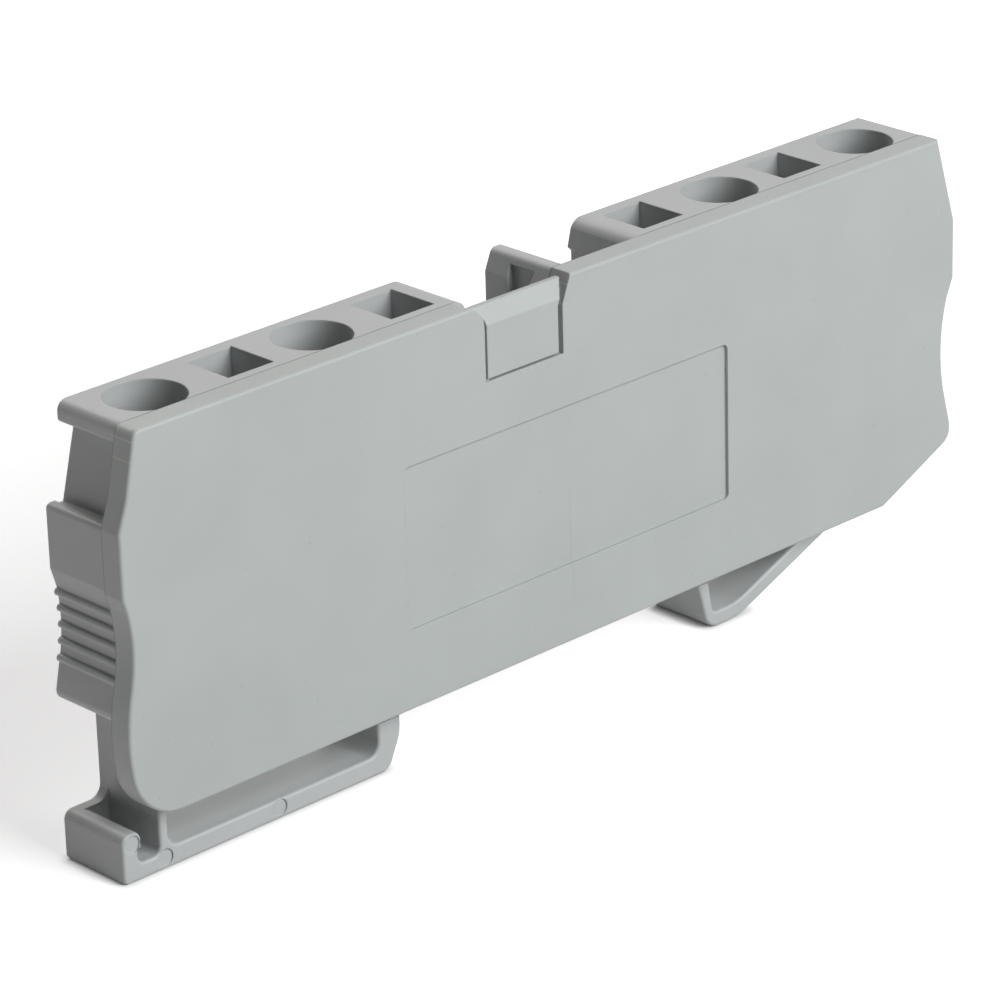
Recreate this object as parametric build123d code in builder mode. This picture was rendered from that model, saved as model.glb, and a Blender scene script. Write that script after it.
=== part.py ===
from build123d import *
import os
from math import hypot, sqrt

# Feed-through terminal block with its end cover.
# X runs along the block, Y from the cover to the closed back, Z up from the feet.
# The origin is under the middle of the block. Lengths are millimetres.
# A drop is a distance down from the top face, a rise one up from the body's underside,
# and an inset one inwards from an end.

# Overall sizes
length = 87.0
height = 34.8
foot_height = 5.3
block_width = 6.45
cover_thickness = 1.95
middle_x = 0.15

# End outline of the cover, shared by the housing one step further in
crown_inset = 2.02
neck_inset = 1.0
neck_drop = 4.9
shoulder_inset = 0.18
shoulder_drop = 7.2
waist_top = 12.1
waist_lead = 1.1
waist_inset = 0.83
hip_top_rise = 9.8
hip_rise = 6.4
hip_bottom_rise = 4.0
heel_length = 4.6
heel_share = 0.32
far_waist_lead = 1.6
far_waist_inset = 1.36
far_hip_rise = 7.4
toe_rise = 4.8
toe_length = 8.25
toe_inset = 0.9
toe_slope = 1.5
toe_corner_inset = 0.3
toe_corner = 1.0
toe_round = 1.2
toe_corner_round = 1.0
hip_round = 2.0
crown_corner = 0.7
shoulder_round = 1.2
outline_step = 0.42

# Marker channel above each grip block
ledge_inset = 2.13
ledge_thickness = 1.5
ledge_slope = 0.6
ledge_round = 0.8
ledge_lip_round = 0.35
channel_inset = 3.5
grip_top = 7.25
grip_lead = 1.5
grip_bottom_rise = 7.2
grip_land = 0.9
grip_round = 0.4
grip_base_round = 0.8
rim_width = 0.8
rim_depth = 0.25

# Walls and clearances
back_wall = 1.0
seat_clearance = 0.05
running_clearance = 0.06

# Conductor entries and driver openings
outer_wire_inset = 6.85
wire_radius = 3.05
wire_back_skin = 0.65
throat_radius = 2.1
throat_drop = 6.6
driver_length = 4.25
driver_depth = 4.6
driver_inset = 3.28

# Bridge shafts and divider, from the middle of the block
divider_shift = 0.43
divider_thickness = 1.65
divider_bevel = 0.55
divider_bevel_drop = 1.65
divider_crown = 0.45
divider_crown_drop = 0.35
divider_strip = 2.3
groove_depth = 0.75
groove_width = 2.6
groove_top = 0.7
groove_taper = 0.45
groove_taper_drop = 2.2
shaft_end = 8.65
shaft_wall = 1.05
shaft_lip = 0.37
lip_drop = 2.12
crown_round = 1.1
crown_drop = 0.7
cut_above = 0.5
back_notch = 5.9

# End cover
edge_round = 0.25
notch_left = -8.42
notch_right = -0.47
notch_drop = 6.05
left_flare = 1.45
left_flare_drop = 1.9
right_flare = 0.88
right_flare_drop = 2.2
tab_thickness = 1.0
tab_top_drop = 0.25
tab_bevel_drop = 1.7
tab_set_back = 0.6
score_left = 0.22
score_right = 0.48
score_bottom = 0.2
film_thickness = 0.4
film_drop = 1.2
score_depth = 0.2
score_land = 0.3
label_length = 33.9
label_top = 10.3
label_rise = 6.4
label_recess = 0.25
label_corner = 0.45
peg_radius = 0.8
peg_length = 3.0
peg_lead = 0.25
peg_end_gap = 0.4
upper_peg_drop = 4.0
lower_peg_rise = 4.0
boss_radius = 2.0

# Clamp chambers, each from just outside its wire to past its driver opening
chamber_top = 9.0
chamber_near = 2.9
chamber_wall = 1.25
chamber_rise = 8.1
pocket_inset = 8.8
pocket_rib = 1.2
pocket_floor = 1.1
pocket_corner = 0.5
pocket_count = 4

# Current bar
bar_thickness = 1.0
bar_rise = 9.9
bar_width = 4.6
contact_x = 2.1
contact_top = 11.0
contact_width = 2.6
socket_x = 4.75
socket_length = 1.6
socket_width = 3.0

# Cage springs
spring_gauge = 0.5
spring_width = 4.2
spring_leg_top = 13.6
arm_drop = 12.2
arm_reach = 2.4
arm_end = 0.55
window_width = 3.0
window_gap = 0.3
loop_gap = 1.0
loop_share = 0.45
heel_radius = 1.0

# Rail seat, release foot and rail hook
rail_x = -0.3
rail_width = 35.0
rail_slot = 1.2
rail_play = 0.15
stop_length = 1.05
stop_height = 0.9
claw_bite = 1.55
claw_wall = 2.25
claw_lean = 1.2
claw_lean_height = 2.7
claw_bend = 3.0
claw_round = 1.2
foot_inset = 0.35
foot_bar = 1.6
foot_round = 0.4
foot_edge = 0.25
lip_width = 1.75
lip_height = 3.85
lip_round = 0.7
neck_cut = 0.33
nose_height = 2.45
driver_slot = 1.7
slot_floor = 1.3
slot_round = 0.6
foot_web = 0.9
web_round = 1.1
stem_thickness = 0.8
stem_rise = 5.5
stem_gap = 1.0
window_round = 1.0
hook_leg = 1.2
hook_beam = 1.3
hook_lean = 1.1
hook_floor = 3.5
hook_run = 13.1
hook_round = 1.5
hook_bend = 6.0
hook_corner = 0.5
mark_radius = 0.7
mark_recess = 0.1
mark_gap = 0.15
mark_height = 0.88
mark_reach = 12.15

# Grip ridges on the left end
ridge_count = 5
ridge_radius = 0.3
first_ridge = 0.45
last_ridge = 0.65

os.makedirs("parts", exist_ok=True)

half = length / 2
body_height = height - foot_height
hip_top = body_height - hip_top_rise
hip_drop = body_height - hip_rise
hip_bottom = body_height - hip_bottom_rise
far_hip_drop = body_height - far_hip_rise
toe_drop = body_height - toe_rise
waist_drop = (waist_top + hip_top) / 2
far_waist_drop = (waist_top + toe_drop) / 2
grip_bottom = body_height - grip_bottom_rise
stem_top = body_height - stem_rise
chamber_bottom = body_height - chamber_rise
pocket_top = chamber_bottom + pocket_rib
pocket_bottom = body_height - pocket_floor
bar_drop = body_height - bar_rise
lower_peg_drop = body_height - lower_peg_rise
label_bottom = body_height - label_rise
back_y = (block_width + cover_thickness) / 2
seam_y = back_y - block_width
floor_y = back_y - back_wall
cavity_depth = block_width - back_wall
wire_y = back_y - wire_back_skin - wire_radius
claw_top_z = foot_height - rail_slot
foot_x = -half + foot_inset
lip_x = foot_x + lip_width
stem_x = lip_x + driver_slot
window_x = stem_x + stem_thickness
claw_x = rail_x - rail_width / 2 + claw_bite
hook_x = rail_x + rail_width / 2 - claw_bite
bar_z = height - bar_drop
outer_wire_x = half - outer_wire_inset
clamp_pitch = (outer_wire_x - shaft_end - shaft_wall + chamber_near + chamber_wall) / 2
chamber_far = clamp_pitch - chamber_near - chamber_wall
driver_reach = chamber_far - driver_inset
loop_reach = chamber_far - loop_gap
loop_radius = loop_share * (bar_drop - arm_drop)
pocket_reach = half - pocket_inset
pocket_length = (2 * pocket_reach - (pocket_count - 1) * pocket_rib) / pocket_count
lower_peg_x = pocket_length + pocket_rib
upper_peg_x = outer_wire_x - (wire_radius + driver_reach - driver_length / 2) / 2
divider_faces = {side: divider_thickness / 2 + side * divider_shift for side in (-1, 1)}
front_y = seam_y - cover_thickness
flare_radius = (left_flare**2 + left_flare_drop**2) / (2 * left_flare)
wires = [(side, middle_x + side * (outer_wire_x - row * clamp_pitch)) for side in (-1, 1) for row in (1, 0)]


# A point given by its distance from the left end and from the top face.
def left(inset, drop):
    return (-half + inset, height - drop)


# The same from the right end.
def right(inset, drop):
    return (half - inset, height - drop)


# A point given by its distance from the middle of the block, to either side.
def beside(side, offset, drop):
    return (middle_x + side * offset, height - drop)


# Where the cover's pegs sit on one side of the middle.
def peg_places(side):
    return [beside(side, upper_peg_x, upper_peg_drop), beside(side, lower_peg_x, lower_peg_drop)]


# The upright plane at a given depth, facing the cover's side.
def upright(y):
    return Plane.XZ.offset(-y)


# Rectangle drawn between two corners.
def box_face(corner, opposite, mode=Mode.ADD):
    middle = ((corner[0] + opposite[0]) / 2, (corner[1] + opposite[1]) / 2)
    with Locations(middle):
        Rectangle(abs(opposite[0] - corner[0]), abs(opposite[1] - corner[1]), mode=mode)


# The same rectangle with its corners rounded.
def soft_face(corner, opposite, radius):
    middle = ((corner[0] + opposite[0]) / 2, (corner[1] + opposite[1]) / 2)
    with Locations(middle):
        RectangleRounded(abs(opposite[0] - corner[0]), abs(opposite[1] - corner[1]), radius)


# The end cover seen from the front.
def cover_face():
    with BuildLine() as outline_lines:
        flank = Polyline(
            left(crown_inset, 0),
            left(neck_inset, neck_drop),
            left(shoulder_inset, shoulder_drop),
            left(shoulder_inset, waist_top),
            left((shoulder_inset + waist_inset) / 2, waist_top + waist_lead),
        )
        waist = ThreePointArc(flank @ 1, left(waist_inset, waist_drop), left(2 * shoulder_inset, hip_top))
        hip = ThreePointArc(waist @ 1, left(0, hip_drop), left(shoulder_inset, hip_bottom))
        heel_middle = left(heel_share * heel_length, body_height - heel_share * hip_bottom_rise)
        heel = ThreePointArc(hip @ 1, heel_middle, left(heel_length, body_height))
        toe = Polyline(
            heel @ 1,
            right(toe_length, body_height),
            right(toe_inset, toe_drop + toe_slope),
            right(toe_corner_inset, toe_drop + toe_corner),
            right(shoulder_inset, toe_drop),
            right(waist_inset, far_hip_drop),
        )
        far_waist = ThreePointArc(
            toe @ 1,
            right(far_waist_inset, far_waist_drop),
            right((waist_inset + far_waist_inset) / 3, waist_top + far_waist_lead),
        )
        Polyline(
            far_waist @ 1,
            right(0, waist_top),
            right(0, shoulder_drop),
            right(crown_inset, 0),
            left(crown_inset, 0),
        )
    make_face(outline_lines.edges())


# The housing's body, with a ledge, a marker channel and a grip block at each end.
# Returns the hollow of the left grip, where the ridges stand.
def body_face():
    block = shoulder_inset + outline_step
    foot_side = window_x + stem_gap
    with BuildLine() as outline_lines:
        channel = Polyline(
            left(ledge_inset, 0),
            left(ledge_inset, ledge_thickness),
            left(channel_inset, ledge_thickness + ledge_slope),
            left(ledge_inset, grip_top + rim_depth),
            left(block + rim_width, grip_top + rim_depth),
            left(block + rim_width, grip_top),
            left(block, grip_top),
            left(block, waist_top),
            left(waist_inset + outline_step / 2, waist_top + grip_lead),
        )
        grip = ThreePointArc(
            channel @ 1,
            left(waist_inset + outline_step, waist_drop),
            left(2 * shoulder_inset + outline_step, hip_top),
        )
        base = Polyline(
            grip @ 1,
            left(outline_step, grip_bottom - grip_land),
            left(outline_step, grip_bottom),
            (stem_x, height - grip_bottom),
            (stem_x, height - stem_top),
            (foot_side, height - stem_top),
            (foot_side, foot_height),
            right(toe_length + outline_step / 2, body_height),
            right(toe_inset + outline_step, toe_drop + toe_slope),
            right(block, toe_drop),
        )
        far_grip = ThreePointArc(
            base @ 1,
            right(far_waist_inset + outline_step, far_waist_drop),
            right(waist_inset + outline_step / 2, waist_top + grip_lead),
        )
        Polyline(
            far_grip @ 1,
            right(block, waist_top),
            right(block, grip_top),
            right(ledge_inset, grip_top),
            right(channel_inset, ledge_thickness + ledge_slope),
            right(ledge_inset, ledge_thickness),
            right(ledge_inset, 0),
            left(ledge_inset, 0),
        )
    make_face(outline_lines.edges())
    return grip


# Release foot: a bar on a thin stem, a lip for the driver and a claw for the rail.
def foot_face():
    with BuildLine() as outline_lines:
        Polyline(
            (stem_x, height - stem_top),
            (stem_x, slot_floor),
            (lip_x - neck_cut, slot_floor),
            (lip_x - neck_cut, nose_height),
            (lip_x, nose_height),
            (lip_x, lip_height),
            (foot_x, lip_height),
            (foot_x, 0),
            (claw_x - claw_lean, 0),
            (claw_x, claw_lean_height),
            (claw_x, claw_top_z),
            (claw_x - claw_wall, claw_top_z),
            (claw_x - claw_wall, foot_bar),
            (window_x, foot_bar),
            (window_x, height - stem_top),
            close=True,
        )
    make_face(outline_lines.edges())


# Fixed hook: a leg that leans out under the rail and a beam back up to the body.
def hook_face():
    heel_x = hook_x + hook_lean
    beam_start = heel_x + hook_floor
    beam_end = beam_start + hook_run
    slope = foot_height / hook_run
    inner_end = beam_end - hook_beam * hypot(1, slope) / slope
    with BuildLine() as outline_lines:
        Polyline(
            (hook_x, claw_top_z),
            (heel_x, 0),
            (beam_start, 0),
            (beam_end, foot_height),
            (inner_end, foot_height),
            (hook_bend_inside(), hook_beam),
            (heel_x + hook_leg / 2, hook_beam),
            (hook_x + hook_leg, claw_top_z),
            close=True,
        )
    make_face(outline_lines.edges())


# Where the hook's inner side turns from its floor into its beam.
def hook_bend_inside():
    slope = foot_height / hook_run
    return hook_x + hook_lean + hook_floor - hook_beam * (hypot(1, slope) - 1) / slope


# The notch for the break-out tab or, with gaps, the tab inside it, ending at a given drop.
def tab_face(left_gap, right_gap, bottom_gap, top_drop):
    left_x = notch_left + left_gap
    right_x = notch_right - right_gap
    radius = flare_radius + left_gap
    reach = sqrt(radius**2 - (left_flare_drop - top_drop) ** 2)
    flare = right_flare * (1 - top_drop / right_flare_drop)
    with BuildLine() as tab_lines:
        curve = TangentArc(
            (left_x, height - left_flare_drop),
            (left_x - radius + reach, height - top_drop),
            tangent=(0, 1),
        )
        Polyline(
            curve @ 1,
            (right_x + flare, height - top_drop),
            (right_x, height - right_flare_drop),
            (right_x, height - notch_drop + bottom_gap),
            (left_x, height - notch_drop + bottom_gap),
            curve @ 0,
        )
    make_face(tab_lines.edges())


# Corner of an outline nearest to a given point.
def corner_near(corners, x, z):
    return corners.sort_by_distance(Vector(x, z, 0))[0]


with BuildPart() as housing:
    with BuildSketch(upright(back_y)) as outline:
        grip_curve = body_face()
        foot_face()
        hook_face()
        for side in (-1, 1):
            stop_x = rail_x + side * (rail_width / 2 + rail_play)
            box_face((stop_x, foot_height), (stop_x + side * stop_length, foot_height - stop_height))
        ridge_pitch = (grip_curve.length - first_ridge - last_ridge) / (ridge_count - 1)
        for ridge in range(ridge_count):
            share = (first_ridge + ridge * ridge_pitch) / grip_curve.length
            with Locations(grip_curve @ share):
                Circle(ridge_radius)
        rounds = [
            (left(ledge_inset, 0), ledge_round),
            (left(ledge_inset, ledge_thickness), ledge_lip_round),
            (left(shoulder_inset + outline_step, grip_top), grip_round),
            (left(outline_step, grip_bottom), grip_base_round),
            (right(shoulder_inset + outline_step, grip_top), grip_round),
            ((lip_x, lip_height), lip_round),
            ((foot_x, lip_height), lip_round),
            ((foot_x, 0), foot_round),
            ((stem_x, slot_floor), slot_round),
            ((lip_x - neck_cut, slot_floor), slot_round),
            ((window_x, foot_bar), window_round),
            ((claw_x - claw_wall, foot_bar), window_round),
            ((claw_x, claw_lean_height), claw_bend),
            ((claw_x - claw_lean, 0), claw_round),
            ((hook_x + hook_lean, 0), hook_round),
            ((hook_x + hook_lean + hook_floor, 0), hook_bend),
            ((hook_bend_inside(), hook_beam), hook_bend),
            ((hook_x + hook_lean + hook_leg / 2, hook_beam), hook_corner),
        ]
        for (x, z), radius in rounds:
            fillet(corner_near(outline.vertices(), x, z), radius)
    extrude(amount=block_width)
    front_edges = housing.edges().filter_by_position(Axis.Y, seam_y, seam_y)
    fillet(front_edges.filter_by_position(Axis.Z, 0, lip_height), foot_edge)

    # Web that closes the driver slot of the release foot at the back and runs up the stem
    with BuildSketch(upright(back_y)):
        with BuildLine():
            web_top = Line((lip_x - lip_round, lip_height), (stem_x - web_round, lip_height))
            web_rise = TangentArc(web_top @ 1, (stem_x, lip_height + web_round), tangent=(1, 0))
            Polyline(web_rise @ 1, (stem_x, slot_floor), (lip_x - lip_round, slot_floor), web_top @ 0)
        make_face()
    extrude(amount=foot_web)

    # Shaft tops, open at the back too, with a lip under each rounded crown
    with BuildSketch(upright(back_y)):
        for side in (-1, 1):
            inner = divider_faces[side]
            with BuildLine() as shaft_lines:
                crown = TangentArc(
                    beside(side, shaft_end + crown_round, 0),
                    beside(side, shaft_end, crown_drop),
                    tangent=(-side, 0),
                )
                Polyline(
                    crown @ 1,
                    beside(side, shaft_end - shaft_lip, lip_drop),
                    beside(side, shaft_end, lip_drop + shaft_lip),
                    beside(side, shaft_end, back_notch),
                    beside(side, inner, back_notch),
                    beside(side, inner, -cut_above),
                    beside(side, shaft_end + crown_round, -cut_above),
                    crown @ 0,
                )
            make_face()
    extrude(amount=block_width, mode=Mode.SUBTRACT)

    # Shafts below the notch, clamp chambers, channel of the bar and lower pockets
    with BuildSketch(upright(floor_y)):
        for side in (-1, 1):
            box_face(
                beside(side, divider_faces[side], back_notch),
                beside(side, shaft_end, chamber_bottom),
            )
        for side, wire_x in wires:
            box_face(
                (wire_x + side * chamber_near, height - chamber_top),
                (wire_x - side * chamber_far, height - chamber_bottom),
            )
        bar_reach = outer_wire_x - contact_x + seat_clearance
        box_face(
            beside(-1, bar_reach, bar_drop - seat_clearance),
            beside(1, bar_reach, bar_drop + bar_thickness + seat_clearance),
        )
        for pocket in range(pocket_count):
            start = middle_x - pocket_reach + pocket * (pocket_length + pocket_rib)
            soft_face(
                (start, height - pocket_top),
                (start + pocket_length, height - pocket_bottom),
                pocket_corner,
            )
    extrude(amount=cavity_depth, mode=Mode.SUBTRACT)

    # Bosses and sockets for the cover's pegs
    with BuildSketch(upright(floor_y)):
        with Locations(beside(-1, lower_peg_x, lower_peg_drop), beside(1, lower_peg_x, lower_peg_drop)):
            Circle(boss_radius)
    extrude(amount=cavity_depth)
    with BuildSketch(upright(seam_y)):
        for side in (-1, 1):
            with Locations(peg_places(side)):
                Circle(peg_radius + running_clearance)
    extrude(amount=-(peg_length + peg_end_gap), mode=Mode.SUBTRACT)

    # Round conductor entries, which break through the open side, with a funnel to the throat
    with BuildSketch(Plane.XY.offset(height)):
        with Locations(*[(wire_x, wire_y) for side, wire_x in wires]):
            Circle(wire_radius)
    extrude(amount=-throat_drop, mode=Mode.SUBTRACT)
    funnel_height = chamber_top - throat_drop
    with Locations(*[(wire_x, wire_y, height - throat_drop - funnel_height / 2) for side, wire_x in wires]):
        Cone(throat_radius, wire_radius, funnel_height, mode=Mode.SUBTRACT)

    # Square driver openings, flush with the inside of the back wall
    with BuildSketch(Plane.XY.offset(height)):
        driver_y = floor_y - driver_depth / 2
        with Locations(*[(wire_x - side * driver_reach, driver_y) for side, wire_x in wires]):
            Rectangle(driver_length, driver_depth)
    extrude(amount=-chamber_top, mode=Mode.SUBTRACT)

    # Bevel and rounded crown along the divider's left side, and the groove below them
    with BuildSketch(upright(back_y)):
        with BuildLine():
            bevel_line = Line(
                beside(-1, divider_faces[-1], divider_bevel_drop),
                beside(-1, divider_faces[-1] - divider_bevel, divider_crown_drop),
            )
            bevel_crown = TangentArc(
                bevel_line @ 1,
                beside(-1, divider_faces[-1] - divider_bevel - divider_crown, 0),
                tangent=bevel_line % 1,
            )
            Polyline(
                bevel_crown @ 1,
                beside(-1, divider_faces[-1] - divider_bevel - divider_crown, -cut_above),
                beside(-1, divider_faces[-1], -cut_above),
                bevel_line @ 0,
            )
        make_face()
    extrude(amount=block_width, mode=Mode.SUBTRACT)
    with BuildSketch(Plane.YZ.offset(middle_x - divider_faces[-1])):
        strip_y = back_y - divider_strip
        groove_end = strip_y - groove_width
        with BuildLine():
            Polyline(
                (strip_y, height - groove_top),
                (strip_y, height - chamber_bottom),
                (groove_end + groove_taper, height - chamber_bottom),
                (groove_end + groove_taper, height - groove_top - groove_taper_drop),
                (groove_end, height - groove_top),
                close=True,
            )
        make_face()
    extrude(amount=groove_depth, mode=Mode.SUBTRACT)

    # Shallow round pin marks on the front of the release foot
    with BuildSketch(upright(seam_y)):
        with Locations(
            ((foot_x + lip_x) / 2, lip_height - mark_radius - mark_gap),
            ((stem_x + window_x) / 2, mark_height),
            (claw_x - mark_reach, mark_height),
        ):
            Circle(mark_radius)
    extrude(amount=-mark_recess, mode=Mode.SUBTRACT)
housing.part.label = "housing"
export_step(housing.part, "parts/housing.step")


# The break-out tab, a thin wall with a bevelled top, joined on its left by a shallow score.
with BuildPart() as tab_wall:
    with BuildSketch(upright(front_y + tab_thickness)):
        tab_face(score_left, score_right, score_bottom, tab_top_drop)
    extrude(amount=tab_thickness)
    with BuildSketch(upright(front_y + tab_thickness)):
        tab_face(0, notch_right - notch_left - score_left - score_land, 0, tab_top_drop)
    extrude(amount=tab_thickness - score_depth)
    with BuildSketch(Plane.YZ.offset(notch_left - left_flare)):
        with BuildLine():
            Polyline(
                (front_y, height - tab_bevel_drop),
                (front_y + tab_set_back, height - tab_top_drop),
                (front_y + tab_set_back, height + cut_above),
                (front_y - cut_above, height + cut_above),
                (front_y - cut_above, height - tab_bevel_drop),
                close=True,
            )
        make_face()
    extrude(amount=notch_right - notch_left + left_flare + right_flare, mode=Mode.SUBTRACT)

with BuildPart() as end_cover:
    with BuildSketch(upright(seam_y)) as cover_outline:
        cover_face()
        cover_rounds = [
            (left(crown_inset, 0), crown_corner),
            (right(0, shoulder_drop), shoulder_round),
            (right(shoulder_inset, toe_drop), hip_round),
            (right(toe_corner_inset, toe_drop + toe_corner), toe_corner_round),
            (right(toe_inset, toe_drop + toe_slope), toe_round),
        ]
        for (x, z), radius in cover_rounds:
            fillet(corner_near(cover_outline.vertices(), x, z), radius)
    extrude(amount=cover_thickness)
    rim = end_cover.faces().sort_by(Axis.Y)[0].outer_wire().edges()
    fillet(rim, edge_round)

    # Bare label panel, slightly recessed
    with BuildSketch(upright(front_y)):
        soft_face(
            beside(-1, label_length / 2, label_top),
            beside(1, label_length / 2, label_bottom),
            label_corner,
        )
    extrude(amount=-label_recess, mode=Mode.SUBTRACT)

    # Notch of the break-out tab, hollow behind the tab, with a film that holds it
    with BuildSketch(upright(seam_y)):
        tab_face(0, 0, 0, 0)
    extrude(amount=cover_thickness, mode=Mode.SUBTRACT)
    with BuildSketch(upright(front_y + tab_thickness)):
        tab_face(0, 0, 0, film_drop)
    extrude(amount=film_thickness)
    add(tab_wall.part)

    # Pegs on the inside
    with BuildSketch(upright(seam_y)):
        for side in (-1, 1):
            with Locations(peg_places(side)):
                Circle(peg_radius)
    extrude(amount=-peg_length)
    peg_tips = end_cover.faces().sort_by(Axis.Y)[-4:].edges()
    chamfer(peg_tips, peg_lead)
end_cover.part.label = "end_cover"
export_step(end_cover.part, "parts/end_cover.step")


with BuildPart() as current_bar:
    with BuildSketch(Plane.XY.offset(bar_z)):
        with Locations((middle_x, wire_y)):
            Rectangle(2 * (outer_wire_x - contact_x), bar_width)
        with Locations((middle_x - socket_x, wire_y), (middle_x + socket_x, wire_y)):
            Rectangle(socket_length, socket_width, mode=Mode.SUBTRACT)
    extrude(amount=-bar_thickness)
    with BuildSketch(Plane.XY.offset(bar_z)):
        tongue_x = contact_x + bar_thickness / 2
        with Locations(*[(wire_x - side * tongue_x, wire_y) for side, wire_x in wires]):
            Rectangle(bar_thickness, contact_width)
    extrude(amount=bar_drop - contact_top)
current_bar.part.label = "current_bar"
export_step(current_bar.part, "parts/current_bar.step")


# One cage spring: a leg against the contact, a loop, and an arm whose window takes the wire.
def make_cage_spring(side, wire_x, name):
    inwards = -side
    leg = contact_x + bar_thickness + spring_gauge / 2
    heel_drop = bar_drop - spring_gauge / 2
    path = [
        (leg, spring_leg_top),
        (leg, heel_drop),
        (loop_reach, heel_drop),
        (loop_reach, arm_drop),
        (-arm_reach, arm_drop),
    ]
    window_start = -arm_reach + arm_end
    window_end = contact_x + bar_thickness + window_gap
    with BuildPart() as spring:
        with BuildSketch(upright(wire_y + spring_width / 2)):
            with BuildLine():
                FilletPolyline(
                    *[(wire_x + inwards * reach, height - drop) for reach, drop in path],
                    radius=[heel_radius, loop_radius, loop_radius],
                )
            trace(line_width=spring_gauge)
        extrude(amount=spring_width)
        with BuildSketch(Plane.XY.offset(height - arm_drop + spring_gauge)):
            with Locations((wire_x + inwards * (window_start + window_end) / 2, wire_y)):
                Rectangle(window_end - window_start, window_width)
        extrude(amount=-2 * spring_gauge, mode=Mode.SUBTRACT)
    spring.part.label = name
    export_step(spring.part, "parts/" + name + ".step")


places = {-1: "left", 1: "right"}
for number, (side, wire_x) in enumerate(wires):
    row = ("inner", "outer")[number % 2]
    make_cage_spring(side, wire_x, "cage_spring_" + places[side] + "_" + row)
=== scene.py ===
# %% [markdown]
# # A rail-mounted terminal block and its end cover
# Terminal blocks like this one stand side by side on a metal rail in a control cabinet.
# Each joins four wires through a hidden copper bar, and the last one in a row is closed
# by a flat cover, which is the large face seen here. Nearly all that shows is one
# substance, a grey moulded nylon, so the picture depends on true edges, an even satin
# surface and soft light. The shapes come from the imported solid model. Blender softens
# their finest edges, gives each substance its surface, and sets the light and the camera.

# %% Load the solid model
from math import cos, pi, radians, sin

import bpy
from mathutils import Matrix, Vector


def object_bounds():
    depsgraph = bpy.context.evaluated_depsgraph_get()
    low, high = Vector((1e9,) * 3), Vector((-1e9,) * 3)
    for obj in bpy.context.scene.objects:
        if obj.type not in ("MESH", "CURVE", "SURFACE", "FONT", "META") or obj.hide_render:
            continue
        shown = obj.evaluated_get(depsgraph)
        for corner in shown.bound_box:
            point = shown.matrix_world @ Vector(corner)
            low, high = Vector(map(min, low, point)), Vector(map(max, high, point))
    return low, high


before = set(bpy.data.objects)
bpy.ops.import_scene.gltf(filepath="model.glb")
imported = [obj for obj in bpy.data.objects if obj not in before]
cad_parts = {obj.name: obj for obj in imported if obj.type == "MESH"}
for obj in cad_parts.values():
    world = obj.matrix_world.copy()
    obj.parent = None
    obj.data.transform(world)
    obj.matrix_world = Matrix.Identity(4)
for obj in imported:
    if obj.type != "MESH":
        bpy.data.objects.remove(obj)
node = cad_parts
cad_low, cad_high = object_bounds()
print("solids:", sorted(node))
print("overall size in mm:", [round(1000 * side, 1) for side in cad_high - cad_low])

# %% [markdown]
# The model is in metres, but the sizes of a small moulding are easier to think of in
# millimetres, so one value turns them over. Colours are easier to pick as the hex codes
# of a paint program. Those are made for a screen, and Blender mixes light in linear
# values, so one function turns a hex code to linear by the sRGB curve.

# %% Millimetres and colours
MM = 0.001


def paint(hex_code):
    """Linear red, green, blue and alpha of a screen colour such as B6BCBA."""
    screen = [int(hex_code[i:i + 2], 16) / 255 for i in (0, 2, 4)]
    linear = [c / 12.92 if c <= 0.04045 else ((c + 0.055) / 1.055) ** 2.4 for c in screen]
    return (*linear, 1.0)


print("mid grey 808080 is", round(paint("808080")[0], 3), "in linear light")

# %% [markdown]
# Every surface below is built from a few nodes. One small function adds a node, sets its
# values and plugs in its links, so that each recipe reads as a short list. Patterns are
# laid out by Object coordinates, which are the model's own metres, so a grain of a tenth
# of a millimetre stays that size on every piece and slides nowhere.

# %% A helper that adds one node
def put(owner, kind, values=None, links=None, **settings):
    """Add a node to a material or the world, with its settings, values and links."""
    new = owner.node_tree.nodes.new(kind)
    for key, value in settings.items():
        setattr(new, key, value)
    for socket, value in (values or {}).items():
        new.inputs[socket].default_value = value
    for socket, source in (links or {}).items():
        owner.node_tree.links.new(source, new.inputs[socket])
    return new


def start_material(name):
    """A material with nothing but its output, and the place of each point in metres."""
    material = bpy.data.materials.new(name)
    material.use_nodes = True
    material.node_tree.nodes.clear()
    output = put(material, "ShaderNodeOutputMaterial")
    place = put(material, "ShaderNodeTexCoord").outputs["Object"]
    return material, output, place


def grains_per_metre(size_mm):
    """Noise scale for grains of about this size."""
    return 1 / (size_mm * MM)


print("a 0.1 mm grain needs a noise scale of", round(grains_per_metre(0.1)))

# %% [markdown]
# **Moulded polyamide.** Housing and cover are injection moulded nylon, coloured a cool
# light grey right through. The tone is nearly the same all over: it drifts by less than a
# percent where the melt cooled last, which a slow noise of about 9 mm shows. A few dark
# specks of burnt resin and dust always show on so pale a grey. They are the middles of
# Voronoi cells one millimetre wide, and about one cell in seven has a speck.

# %% Colour of the nylon
DRIFT = 9.0
SPECK_CELL = 1.0
SPECK_REACH = 0.11
SPECK_LIMIT = 0.85
SPECK_DEPTH = 0.4
SPECK_COLOUR = "5F605D"


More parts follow.
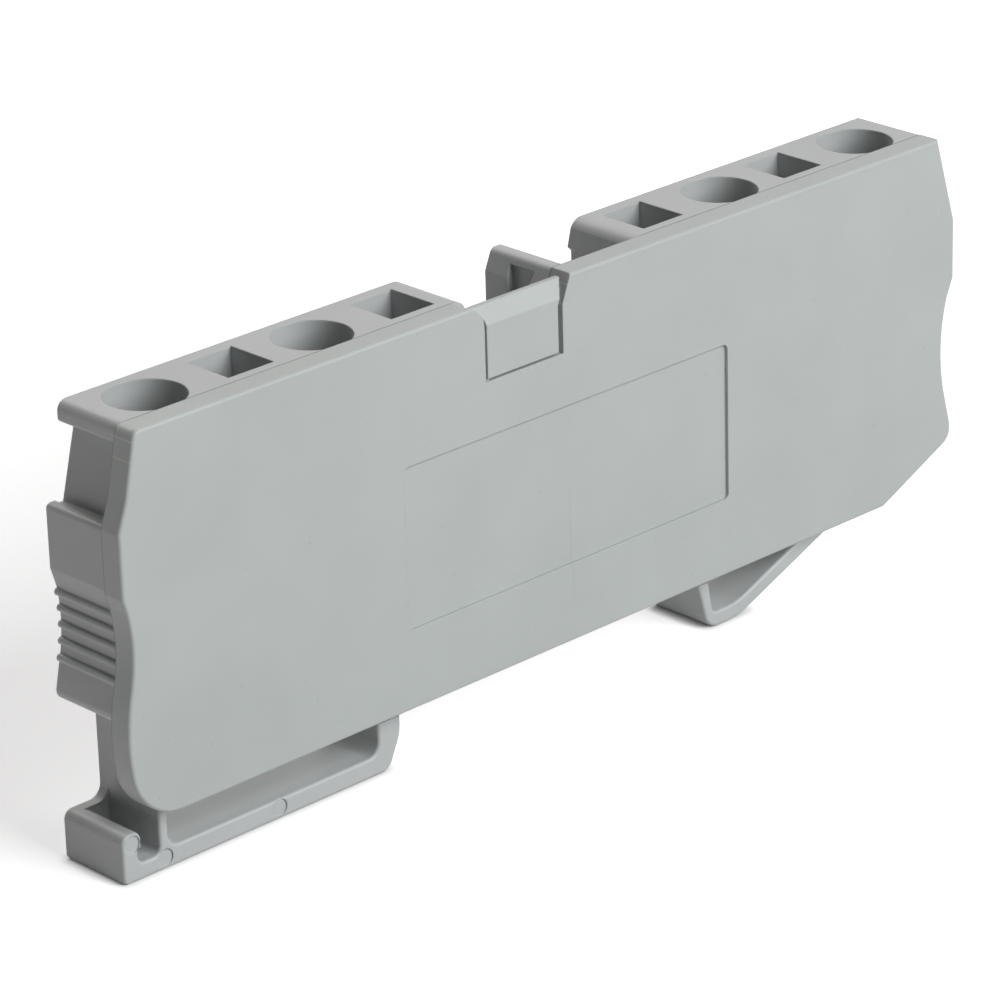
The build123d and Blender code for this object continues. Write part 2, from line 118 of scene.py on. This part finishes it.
def nylon_colour(material, place, tones):
    """A slow drift through three tones, from deep to pale, with scattered dark specks."""
    drift = put(material, "ShaderNodeTexNoise",
                {"Scale": grains_per_metre(DRIFT), "Detail": 4.0}, {"Vector": place})
    tone = put(material, "ShaderNodeValToRGB", {}, {"Fac": drift.outputs["Fac"]})
    tone.color_ramp.elements.new(0.5)
    for stop, position, hex_code in zip(tone.color_ramp.elements, (0.35, 0.5, 0.65), tones):
        stop.position, stop.color = position, paint(hex_code)
    cells = put(material, "ShaderNodeTexVoronoi",
                {"Scale": grains_per_metre(SPECK_CELL)}, {"Vector": place})
    chance = put(material, "ShaderNodeSeparateColor", {}, {"Color": cells.outputs["Color"]})
    rare = put(material, "ShaderNodeMath", {1: SPECK_LIMIT}, {0: chance.outputs["Red"]},
               operation="GREATER_THAN")
    near = put(material, "ShaderNodeMapRange",
               {"From Min": SPECK_REACH, "From Max": 0.0, "To Max": SPECK_DEPTH},
               {"Value": cells.outputs["Distance"]})
    speck = put(material, "ShaderNodeMath", {}, {0: rare.outputs[0], 1: near.outputs["Result"]},
                operation="MULTIPLY")
    specked = put(material, "ShaderNodeMix", {"B": paint(SPECK_COLOUR)},
                  {"Factor": speck.outputs[0], "A": tone.outputs["Color"]}, data_type="RGBA")
    return specked.outputs["Result"]


print("specks sit in cells", SPECK_CELL, "mm wide, in", round(100 * (1 - SPECK_LIMIT)),
      "percent of them")

# %% [markdown]
# Three fine marks go with the way these two pieces are made and fitted, and each is a thin
# band at a known place: painted shade in the seam, painted highlights on the joints of the
# mould's inserts, and the line where the melt met. The recipe finds a band by its distance
# from a plane, and keeps it to the faces that look the right way, or it would fill whole
# faces. So each mark needs the place of a point, the way its face looks, the band, and one
# step that blends the colour to the mark's own where all of them agree.

# %% Bands a given distance from a plane
BAND_CORE = 0.35


def place_and_look(material, place):
    """The x, y and z of each point, and of the way its face looks."""
    where = put(material, "ShaderNodeSeparateXYZ", {}, {"Vector": place})
    faces = put(material, "ShaderNodeNewGeometry")
    look = put(material, "ShaderNodeSeparateXYZ", {}, {"Vector": faces.outputs["True Normal"]})
    return where.outputs, look.outputs


def band(material, distance, half_width, strength):
    """From strength on the plane to nothing at half_width millimetres from it."""
    size = put(material, "ShaderNodeMath", {}, {0: distance}, operation="ABSOLUTE")
    fade = put(material, "ShaderNodeMapRange",
               {"From Min": half_width * MM, "From Max": BAND_CORE * half_width * MM,
                "To Max": strength}, {"Value": size.outputs[0]})
    return fade.outputs["Result"]


def mark(material, colour, factors, hex_code):
    """Blend a colour towards another by the product of several factors."""
    amount = factors[0]
    for factor in factors[1:]:
        amount = put(material, "ShaderNodeMath", {}, {0: amount, 1: factor},
                     operation="MULTIPLY").outputs[0]
    mixed = put(material, "ShaderNodeMix", {"B": paint(hex_code)},
                {"Factor": amount, "A": colour}, data_type="RGBA")
    return mixed.outputs["Result"]


print("a band is at full strength over", BAND_CORE, "of its width")

# %% [markdown]
# Where cover and housing meet, the hairline gap lies in shade, and that shade is painted into
# the colour as a dark line. It runs round the rim above the feet, and shows on the faces
# that don't look forwards or back.

# %% Painted shade in the seam's hairline
SEAM_Y = -2.25
SEAM_HALF = 0.11
SEAM_LOWEST = 6.0
SEAM_SHADE_STRENGTH = 0.55
RIM_LOOK = 0.5
SEAM_SHADE_COLOUR = "5A5B5A"


def seam_painted_shade(material, where, look, colour):
    """Painted shade: a dark hairline round the rim, where cover and housing meet."""
    off = put(material, "ShaderNodeMath", {1: SEAM_Y * MM}, {0: where["Y"]}, operation="SUBTRACT")
    near = band(material, off.outputs[0], SEAM_HALF, SEAM_SHADE_STRENGTH)
    high = put(material, "ShaderNodeMath", {1: SEAM_LOWEST * MM}, {0: where["Z"]},
               operation="GREATER_THAN")
    forward = put(material, "ShaderNodeMath", {}, {0: look["Y"]}, operation="ABSOLUTE")
    rim = put(material, "ShaderNodeMath", {1: RIM_LOOK}, {0: forward.outputs[0]},
              operation="LESS_THAN")
    # painted shade: the colour darkens in a thin band where the seam's gap would be shaded
    return mark(material, colour, (near, high.outputs[0], rim.outputs[0]), SEAM_SHADE_COLOUR)


print("seam at y =", SEAM_Y, "mm, down to z =", SEAM_LOWEST, "mm")

# %% [markdown]
# The cover's mould has loose inserts at its left end, whose joints leave two tiny ledges
# across the edge there. The light those ledges catch is painted as two faint light lines, a
# painted highlight. Both lie the same distance from one height, so one band draws the two.

# %% Painted highlights on the joints of the mould's inserts
INSERT_MIDDLE = 33.3
INSERT_HALF_GAP = 0.7
INSERT_HALF = 0.07
INSERT_HIGHLIGHT_STRENGTH = 0.5
LEFT_LOOK = -0.6
INSERT_HIGHLIGHT_COLOUR = "E4E4DF"


def insert_joint_highlights(material, where, look, colour):
    """Painted highlights: two light lines across the left edge, above and below one height."""
    off = put(material, "ShaderNodeMath", {1: INSERT_MIDDLE * MM}, {0: where["Z"]},
              operation="SUBTRACT")
    size = put(material, "ShaderNodeMath", {}, {0: off.outputs[0]}, operation="ABSOLUTE")
    from_joint = put(material, "ShaderNodeMath", {1: INSERT_HALF_GAP * MM}, {0: size.outputs[0]},
                     operation="SUBTRACT")
    near = band(material, from_joint.outputs[0], INSERT_HALF, INSERT_HIGHLIGHT_STRENGTH)
    left = put(material, "ShaderNodeMath", {1: LEFT_LOOK}, {0: look["X"]}, operation="LESS_THAN")
    # painted highlight: the colour lightens where the joints' ledges would catch the light
    return mark(material, colour, (near, left.outputs[0]), INSERT_HIGHLIGHT_COLOUR)


print("insert joints at z =", round(INSERT_MIDDLE - INSERT_HALF_GAP, 2), "and",
      round(INSERT_MIDDLE + INSERT_HALF_GAP, 2), "mm")

# %% [markdown]
# Where two streams of melt met in the middle of the cover, the face shows a faint upright
# line. It is only just visible, and stays in the lower half of the face.

# %% Line where the melt met
MEET_X = 0.1
MEET_HALF = 0.16
MEET_LOW = 8.7
MEET_HIGH = 17.6
MEET_DEPTH = 0.06
FRONT_LOOK = -0.9
MEET_COLOUR = "6E706E"


def meeting_line(material, where, look, colour):
    """A faint upright line on the front, between two heights."""
    off = put(material, "ShaderNodeMath", {1: MEET_X * MM}, {0: where["X"]}, operation="SUBTRACT")
    near = band(material, off.outputs[0], MEET_HALF, MEET_DEPTH)
    above = put(material, "ShaderNodeMath", {1: MEET_LOW * MM}, {0: where["Z"]},
                operation="GREATER_THAN")
    below = put(material, "ShaderNodeMath", {1: MEET_HIGH * MM}, {0: where["Z"]},
                operation="LESS_THAN")
    front = put(material, "ShaderNodeMath", {1: FRONT_LOOK}, {0: look["Y"]},
                operation="LESS_THAN")
    factors = (near, above.outputs[0], below.outputs[0], front.outputs[0])
    return mark(material, colour, factors, MEET_COLOUR)


print("flow line at x =", MEET_X, "mm, from z =", MEET_LOW, "to", MEET_HIGH, "mm")

# %% [markdown]
# The mould is spark eroded, which leaves a fine even grain, so the face is satin and not
# glossy. The grain is drawn at 0.11 mm, since real grain of 0.04 mm is too fine to show
# here, and it moves the gloss and the bump. A moulded part never has knife edges either:
# the steel mould is cut with small radii and the plastic shrinks a little in its corners,
# so each edge is a thin rounded strip that catches the light, and that bright line is
# what makes plastic look real. The solids have the larger radii. For the finest ones the
# shader's Bevel node is used, which turns the shading normal near an edge as a round of
# that radius would. A Bevel modifier would do it in the mesh, but one very short edge
# stops it from rounding all the others.

# %% Moulded polyamide
GRAIN = 0.11
GRAIN_DEPTH = 0.02
EDGE_SAMPLES = 6
POLYAMIDE_IOR = 1.53


def moulded_polyamide(name, tones, edge_radius, on_cover):
    """Satin moulded nylon in three tones, its edges rounded by this many millimetres."""
    material, output, place = start_material(name)
    colour = nylon_colour(material, place, tones)
    where, look = place_and_look(material, place)
    # painted shade along the seam between cover and housing
    colour = seam_painted_shade(material, where, look, colour)
    if on_cover:
        # painted highlights on the insert joints
        colour = insert_joint_highlights(material, where, look, colour)
        colour = meeting_line(material, where, look, colour)
    grain = put(material, "ShaderNodeTexNoise",
                {"Scale": grains_per_metre(GRAIN), "Detail": 3.0}, {"Vector": place})
    satin = put(material, "ShaderNodeMapRange",
                {"From Min": 0.25, "From Max": 0.75, "To Min": 0.37, "To Max": 0.49},
                {"Value": grain.outputs["Fac"]})
    edge = put(material, "ShaderNodeBevel", {"Radius": edge_radius * MM}, samples=EDGE_SAMPLES)
    relief = put(material, "ShaderNodeBump", {"Strength": 0.25, "Distance": GRAIN_DEPTH * MM},
                 {"Height": grain.outputs["Fac"], "Normal": edge.outputs["Normal"]})
    shader = put(material, "ShaderNodeBsdfPrincipled", {"IOR": POLYAMIDE_IOR, "Metallic": 0.0},
                 {"Base Color": colour, "Roughness": satin.outputs["Result"],
                  "Normal": relief.outputs["Normal"]})
    material.node_tree.links.new(shader.outputs["BSDF"], output.inputs["Surface"])
    return material


housing_nylon = moulded_polyamide("moulded_polyamide_housing", ("B4B7B7", "B6B9B9", "B8BBBB"),
                                  edge_radius=0.2, on_cover=False)
cover_nylon = moulded_polyamide("moulded_polyamide_cover", ("AFB4B2", "B1B6B4", "B3B8B6"),
                                edge_radius=0.14, on_cover=True)
print("made", housing_nylon.name, "and", cover_nylon.name)

# %% [markdown]
# **Tinned copper.** The current bar is stamped from copper strip and dipped in tin, which
# keeps it from tarnishing. Tin is a dull whitish metal: it blurs what it mirrors, and it
# is a little uneven where the bath ran off. It is a metal, so its colour is set on the
# base and its gloss on the roughness.

# %% Tinned copper
TIN_RUN = 2.2
TIN_GRAIN = 0.16
TIN_DEPTH = 0.01
TIN_TONES = ((0.32, "B9B2A6"), (0.68, "D3D2CD"))


def tinned_copper():
    """Dull tin, a little uneven in tone and gloss where the bath ran off."""
    material, output, place = start_material("tinned_copper")
    runs = put(material, "ShaderNodeTexNoise",
               {"Scale": grains_per_metre(TIN_RUN), "Detail": 3.0}, {"Vector": place})
    fine = put(material, "ShaderNodeTexNoise",
               {"Scale": grains_per_metre(TIN_GRAIN), "Detail": 2.0}, {"Vector": place})
    tone = put(material, "ShaderNodeValToRGB", {}, {"Fac": runs.outputs["Fac"]})
    for stop, (position, hex_code) in zip(tone.color_ramp.elements, TIN_TONES):
        stop.position, stop.color = position, paint(hex_code)
    dull = put(material, "ShaderNodeMapRange",
               {"From Min": 0.3, "From Max": 0.7, "To Min": 0.30, "To Max": 0.44},
               {"Value": runs.outputs["Fac"]})
    relief = put(material, "ShaderNodeBump", {"Strength": 0.2, "Distance": TIN_DEPTH * MM},
                 {"Height": fine.outputs["Fac"]})
    shader = put(material, "ShaderNodeBsdfPrincipled", {"Metallic": 1.0},
                 {"Base Color": tone.outputs["Color"], "Roughness": dull.outputs["Result"],
                  "Normal": relief.outputs["Normal"]})
    material.node_tree.links.new(shader.outputs["BSDF"], output.inputs["Surface"])
    return material


tin = tinned_copper()
print("made", tin.name)

# %% [markdown]
# **Spring steel.** Each clamp is bent from rolled stainless strip. Rolling leaves fine
# lines along the strip, which stretch the highlights across it. A noise squeezed hard
# along two axes gives such lines, here running along the block. They are drawn 0.09 mm
# apart, which is coarser than real rolling lines, or they wouldn't show.

# %% Spring steel
ROLL_LINE = 0.09
ROLL_STRETCH = (0.04, 1.0, 0.25)
ROLL_DEPTH = 0.006
STEEL_TONES = ((0.3, "A9A9AC"), (0.7, "C6C6C9"))


def spring_steel():
    """Bright rolled strip, with fine lines along the block."""
    material, output, place = start_material("rolled_spring_steel")
    stretch = put(material, "ShaderNodeMapping", {"Scale": ROLL_STRETCH}, {"Vector": place})
    lines = put(material, "ShaderNodeTexNoise",
                {"Scale": grains_per_metre(ROLL_LINE), "Detail": 2.0},
                {"Vector": stretch.outputs["Vector"]})
    tone = put(material, "ShaderNodeValToRGB", {}, {"Fac": lines.outputs["Fac"]})
    for stop, (position, hex_code) in zip(tone.color_ramp.elements, STEEL_TONES):
        stop.position, stop.color = position, paint(hex_code)
    gloss = put(material, "ShaderNodeMapRange",
                {"From Min": 0.3, "From Max": 0.7, "To Min": 0.22, "To Max": 0.36},
                {"Value": lines.outputs["Fac"]})
    relief = put(material, "ShaderNodeBump", {"Strength": 0.15, "Distance": ROLL_DEPTH * MM},
                 {"Height": lines.outputs["Fac"]})
    shader = put(material, "ShaderNodeBsdfPrincipled", {"Metallic": 1.0},
                 {"Base Color": tone.outputs["Color"], "Roughness": gloss.outputs["Result"],
                  "Normal": relief.outputs["Normal"]})
    material.node_tree.links.new(shader.outputs["BSDF"], output.inputs["Surface"])
    return material


steel = spring_steel()
print("made", steel.name)

# %% [markdown]
# Each solid now gets its substance. The slots that came with the solid model are cleared
# first, so that no plain colour from it is left over.

# %% Dress the solids
def dress(piece, material):
    """Give a piece one material, in place of the slots it came with."""
    piece.data.materials.clear()
    piece.data.materials.append(material)
    print(piece.name, "is", material.name)


dress(node["housing"], housing_nylon)
dress(node["end_cover"], cover_nylon)
dress(node["current_bar"], tin)
for name in sorted(node):
    if name.startswith("cage_spring"):
        dress(node[name], steel)

# %% [markdown]
# **Floor.** The block stands on plain white, as in a catalogue, and the only thing that
# ties it to the ground is a soft shadow at its feet. The floor is a pale matt paper, and
# it lies a hundredth of a millimetre under the feet, so that the two don't flicker.

# %% Floor
FLOOR_HALF = 3.0
FLOOR_DROP = 0.01
PAPER_FIBRE = 1.2
PAPER_COLOUR = "D5D4D4"

bpy.ops.object.select_all(action="DESELECT")
bpy.ops.mesh.primitive_plane_add(size=2 * FLOOR_HALF,
                                 location=(0, 0, cad_low.z - FLOOR_DROP * MM))
floor = bpy.context.object
floor.name = "floor"
paper, paper_output, paper_place = start_material("matt_white_paper")
fibre = put(paper, "ShaderNodeTexNoise",
            {"Scale": grains_per_metre(PAPER_FIBRE), "Detail": 2.0}, {"Vector": paper_place})
matt = put(paper, "ShaderNodeMapRange", {"To Min": 0.86, "To Max": 0.94},
           {"Value": fibre.outputs["Fac"]})
diffuse = put(paper, "ShaderNodeBsdfDiffuse", {"Color": paint(PAPER_COLOUR)},
              {"Roughness": matt.outputs["Result"]})
print("floor", 2 * FLOOR_HALF, "m wide at z =", round(floor.location.z * 1000, 3), "mm")

# %% [markdown]
# To the camera the paper also glows, so that where it is fully lit it reaches white and
# where the feet shade it, it stays darker. Satin faces mirror that glow, but it is hidden
# from every ray that lights the block. Far out, where the lamps no longer reach, the glow
# that the camera sees rises, or a low view would show a grey horizon. And the glow fades
# within a millimetre of the feet, which paints the darkest contact shadow there, as real
# paper has it. The Ambient Occlusion node finds those places.

# %% Glow of the floor
FLOOR_GLOW = 0.63
FULL_GLOW = 1.0
GLOW_RISE_START, GLOW_RISE_END = 0.12, 0.45
CONTACT_REACH = 0.9
CONTACT_POWER = 1.3
CONTACT_SAMPLES = 16

rays = put(paper, "ShaderNodeLightPath").outputs
mirrored = put(paper, "ShaderNodeMath", {1: FLOOR_GLOW}, {0: rays["Is Glossy Ray"]},
               operation="MULTIPLY")
away = put(paper, "ShaderNodeVectorMath", {}, {0: paper_place}, operation="LENGTH")
rising = put(paper, "ShaderNodeMapRange",
             {"From Min": GLOW_RISE_START, "From Max": GLOW_RISE_END,
              "To Min": FLOOR_GLOW, "To Max": FULL_GLOW}, {"Value": away.outputs["Value"]})
level = put(paper, "ShaderNodeMath", {},
            {0: rays["Is Camera Ray"], 1: rising.outputs["Result"], 2: mirrored.outputs[0]},
            operation="MULTIPLY_ADD")
# painted shadow: ambient occlusion dims the glow right next to the feet
open_air = put(paper, "ShaderNodeAmbientOcclusion", {"Distance": CONTACT_REACH * MM},
               samples=CONTACT_SAMPLES)
painted_contact_shadow = put(paper, "ShaderNodeMath", {1: CONTACT_POWER}, {0: open_air.outputs["AO"]},
              operation="POWER")
faded = put(paper, "ShaderNodeMath", {}, {0: level.outputs[0], 1: painted_contact_shadow.outputs[0]},
            operation="MULTIPLY")
glow = put(paper, "ShaderNodeEmission", {"Color": paint("FFFFFF")},
           {"Strength": faded.outputs[0]})
both = put(paper, "ShaderNodeAddShader", {}, {0: diffuse.outputs[0], 1: glow.outputs[0]})
paper.node_tree.links.new(both.outputs[0], paper_output.inputs["Surface"])
floor.data.materials.append(paper)
print("glow", FLOOR_GLOW, "near the block, and", FULL_GLOW, "from", GLOW_RISE_END, "m out")

# %% [markdown]
# **Surroundings.** Past the floor the camera sees plain white, and so do the rays that a
# surface mirrors, because the white walls of a studio show in every satin face. For the
# soft light that falls on the block, the surroundings are only a dim grey, so that faces
# turned away from the lamps stay clearly darker, as they do in the photograph.

# %% Surroundings
AMBIENT = 0.02

world = bpy.data.worlds.new("white studio")
bpy.context.scene.world = world
world.use_nodes = True
world.node_tree.nodes.clear()
world_output = put(world, "ShaderNodeOutputWorld")
sky_rays = put(world, "ShaderNodeLightPath").outputs
seen = put(world, "ShaderNodeMath", {},
           {0: sky_rays["Is Camera Ray"], 1: sky_rays["Is Transmission Ray"]},
           operation="MAXIMUM")
seen_or_mirrored = put(world, "ShaderNodeMath", {},
                       {0: seen.outputs[0], 1: sky_rays["Is Glossy Ray"]}, operation="MAXIMUM")
backdrop = put(world, "ShaderNodeBackground", {"Color": paint("FFFFFF")})
dim = put(world, "ShaderNodeBackground", {"Color": paint("FFFFFF"), "Strength": AMBIENT})
either = put(world, "ShaderNodeMixShader", {},
             {"Fac": seen_or_mirrored.outputs[0], 1: dim.outputs[0], 2: backdrop.outputs[0]})
world.node_tree.links.new(either.outputs[0], world_output.inputs["Surface"])
print("ambient level", AMBIENT)

# %% [markdown]
# **Lamps.** The large face is bright and even, the top a little darker, and the ends that
# face left are dark. That takes one broad softbox in front and slightly to the right, a
# weak one above and behind for the tops, and a weak one low behind, so that the back
# isn't lost in the dark. None of them stands on the left. All are large and close, which
# keeps every shadow soft. An area lamp spreads its watts over its size and distance, so
# its power is worked out from the level wanted on a face that looks straight at it,
# where 1 shows a colour as it is written.

# %% Softboxes
AIM_HEIGHT = 17.0


def softbox(name, level, azimuth, elevation, distance, size, tint):
    """Lamp seen from the block at this azimuth, 0 in front and positive to the right."""
    away = Vector((sin(radians(azimuth)) * cos(radians(elevation)),
                   -cos(radians(azimuth)) * cos(radians(elevation)),
                   sin(radians(elevation))))
    lamp = bpy.data.lights.new(name, "AREA")
    lamp.shape = "DISK"
    lamp.size = size
    lamp.color = paint(tint)[:3]
    lamp.energy = level * pi ** 2 * (distance ** 2 + (size / 2) ** 2)
    holder = bpy.data.objects.new(name, lamp)
    bpy.context.scene.collection.objects.link(holder)
    holder.location = Vector((0, 0, AIM_HEIGHT * MM)) + away * distance
    holder.rotation_mode = "QUATERNION"
    holder.rotation_quaternion = (-away).to_track_quat("-Z", "Y")
    print(name, "power", round(lamp.energy, 2), "W")


softbox("front softbox", level=0.94, azimuth=14, elevation=30, distance=0.9, size=0.7,
        tint="FDFFFF")
softbox("rear softbox", level=0.22, azimuth=150, elevation=60, distance=0.8, size=0.7,
        tint="FFF5F2")
softbox("back softbox", level=0.22, azimuth=170, elevation=24, distance=0.9, size=0.35,
        tint="FFFAF8")

# %% [markdown]
# **Camera.** The photograph was taken from the left and a little above, with a long lens,
# so the sides of the block nearly keep their slopes. The place and turn were worked out
# from the block's own edges: lines that are parallel on it meet far outside the picture,
# and where they meet gives the lens and the angle.

# %% Camera
CAMERA_PLACE = (-231.84 * MM, -240.29 * MM, 155.88 * MM)
CAMERA_TURN = (radians(67.2245), radians(1.4704), radians(-44.1745))
LENS_MM = 172.62
SENSOR_MM = 36
NEAREST, FARTHEST = 0.01, 20

eye = bpy.data.cameras.new("camera")
eye.lens = LENS_MM
eye.sensor_width = SENSOR_MM
eye.clip_start, eye.clip_end = NEAREST, FARTHEST
camera = bpy.data.objects.new("camera", eye)
bpy.context.scene.collection.objects.link(camera)
camera.location = CAMERA_PLACE
camera.rotation_euler = CAMERA_TURN
bpy.context.scene.camera = camera
bpy.context.scene.view_settings.view_transform = "Standard"
print("camera is", round(camera.location.length, 3), "m from the middle of the feet")
